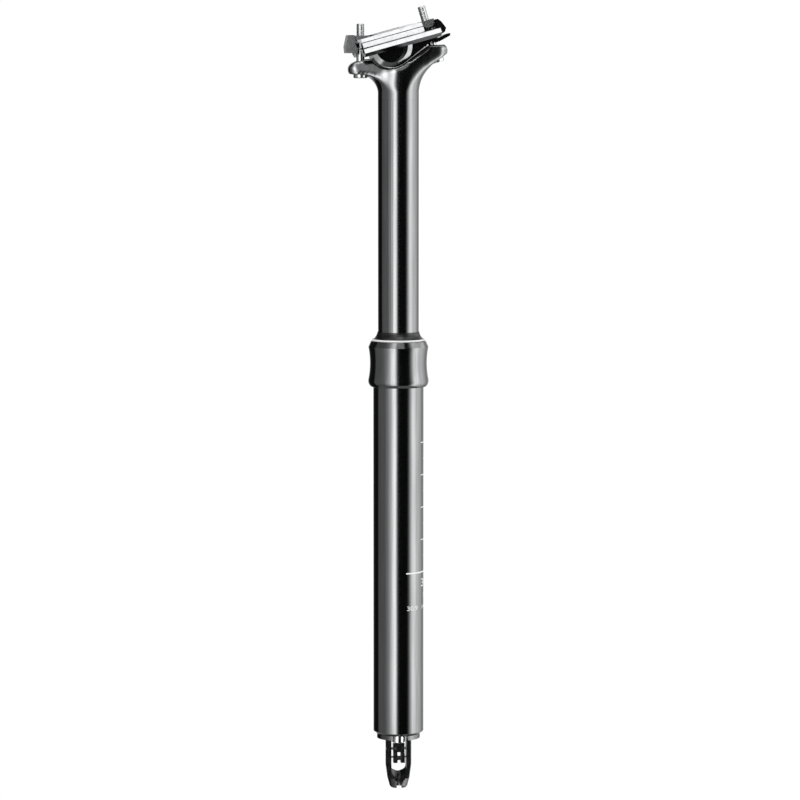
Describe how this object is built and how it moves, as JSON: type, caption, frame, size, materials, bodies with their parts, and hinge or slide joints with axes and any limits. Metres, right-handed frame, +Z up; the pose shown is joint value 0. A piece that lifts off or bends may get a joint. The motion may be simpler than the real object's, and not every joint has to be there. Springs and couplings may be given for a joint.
{
  "type": "dropper seatpost",
  "caption": "Telescopic bicycle seatpost: sliding upper post with a two-bolt saddle rail clamp, waisted collar, and a cable lever in a cage under the outer tube.",
  "frame": {"origin": "on the post's axis, in the plane of the collar's lower face, where the frame's seat clamp stops at the deepest insertion", "axes": "+Z up along the post towards the saddle, +X to the bicycle's rear, Y along the saddle's width"},
  "size_m": [0.0639, 0.0552, 0.4813],
  "materials": {
    "black_anodised": "polished black anodised aluminium",
    "black_forging": "semi-gloss black anodised forging",
    "actuator_black": "satin black anodised aluminium",
    "wiper_rubber": "soft rubber",
    "seal_rubber": "nitrile rubber",
    "ring_white": "white plastic",
    "bright_steel": "ground steel",
    "zinc_steel": "zinc plated steel",
    "dark_steel": "black oxide steel",
    "bare_aluminium": "machined aluminium",
    "bushing_polymer": "filled bearing polymer",
    "key_brass": "machined brass"
  },
  "bodies": {
    "outer_post": {"outer_tube": "black_anodised", "collar": "black_anodised", "upper_bushing": "bushing_polymer", "bushing_spacer": "bushing_polymer", "wiper": "wiper_rubber", "wiper_ring": "ring_white", "bottom_plug": "bare_aluminium", "bottom_bumper": "seal_rubber", "piston_rod": "bright_steel", "piston": "bare_aluminium", "piston_seal": "seal_rubber", "actuator_cage": "actuator_black", "pivot_pin": "bright_steel", "stop_pin": "bright_steel"},
    "sliding_post": {"stanchion": "black_anodised", "guide_keys": "key_brass", "lower_bushing": "bushing_polymer", "gas_cylinder": "bare_aluminium", "cylinder_gland": "bare_aluminium", "rod_seal": "seal_rubber", "top_out_bumper": "seal_rubber", "cylinder_plug": "bare_aluminium", "cartridge_nut": "bare_aluminium"},
    "gas_divider": {"floating_piston": "bare_aluminium", "floating_seal": "seal_rubber"},
    "saddle_clamp": {"upper_clamp": "black_forging", "lower_cradle": "black_forging"},
    "front_screw": {"front_bolt": "zinc_steel", "front_washer": "zinc_steel"},
    "front_barrel": {"front_nut": "zinc_steel"},
    "rear_screw": {"rear_bolt": "zinc_steel", "rear_washer": "zinc_steel"},
    "rear_barrel": {"rear_nut": "zinc_steel"},
    "lever": {"actuator_lever": "actuator_black"},
    "anchor": {"cable_anchor": "dark_steel", "anchor_screw": "dark_steel"},
    "release_valve": {"release_pin": "bright_steel"}
  },
  "joints": [
    {"name": "post_travel", "type": "slide", "parent": "outer_post", "child": "sliding_post", "axis": [0, 0, 1], "range_m": [-0.14, 0], "stiffness_N_per_m": 420, "springref_m": 0.45},
    {"name": "divider_float", "type": "slide", "parent": "sliding_post", "child": "gas_divider", "axis": [0, 0, 1], "range_m": [0, 0.0345]},
    {"name": "saddle_tilt", "type": "hinge", "parent": "sliding_post", "child": "saddle_clamp", "pos_m": [-0.0058, 0, 0.2073], "axis": [0, -1, 0], "range_deg": [-1.5, 8]},
    {"name": "front_bolt_swing", "type": "hinge", "parent": "sliding_post", "child": "front_screw", "pos_m": [-0.0233, 0, 0.1916], "axis": [0, -1, 0], "range_deg": [-1, 2.5]},
    {"name": "front_nut_run", "type": "slide", "parent": "front_screw", "child": "front_barrel", "axis": [0, 0, 1], "range_m": [-0.003, 0.001]},
    {"name": "rear_bolt_swing", "type": "hinge", "parent": "sliding_post", "child": "rear_screw", "pos_m": [0.0231, 0, 0.2011], "axis": [0, -1, 0], "range_deg": [-1, 3.5]},
    {"name": "rear_nut_run", "type": "slide", "parent": "rear_screw", "child": "rear_barrel", "axis": [-0.289, 0, 0.9573], "range_m": [-0.001, 0.004]},
    {"name": "lever_swing", "type": "hinge", "parent": "outer_post", "child": "lever", "pos_m": [-0.00009, -0.0018, -0.225], "axis": [0.9988, -0.0489, 0], "range_deg": [0, 20], "stiffness_Nm_per_rad": 0.01, "springref_deg": -22.92},
    {"name": "anchor_swivel", "type": "hinge", "parent": "lever", "child": "anchor", "pos_m": [-0.00016, -0.0032, -0.2308], "axis": [0.9988, -0.0489, 0], "range_deg": [-20, 20]},
    {"name": "valve_lift", "type": "slide", "parent": "outer_post", "child": "release_valve", "axis": [0, 0, 1], "range_m": [0, 0.0006], "stiffness_N_per_m": 500, "springref_m": -0.004}
  ],
  "couplings": [
    {"joint": "divider_float", "follows": "post_travel", "ratio": -0.244},
    {"joint": "front_bolt_swing", "follows": "saddle_tilt", "ratio": 0.2588},
    {"joint": "front_nut_run", "follows": "saddle_tilt", "m_per_rad": -0.01772},
    {"joint": "rear_bolt_swing", "follows": "saddle_tilt", "ratio": 0.3807},
    {"joint": "rear_nut_run", "follows": "saddle_tilt", "m_per_rad": 0.02558}
  ]
}
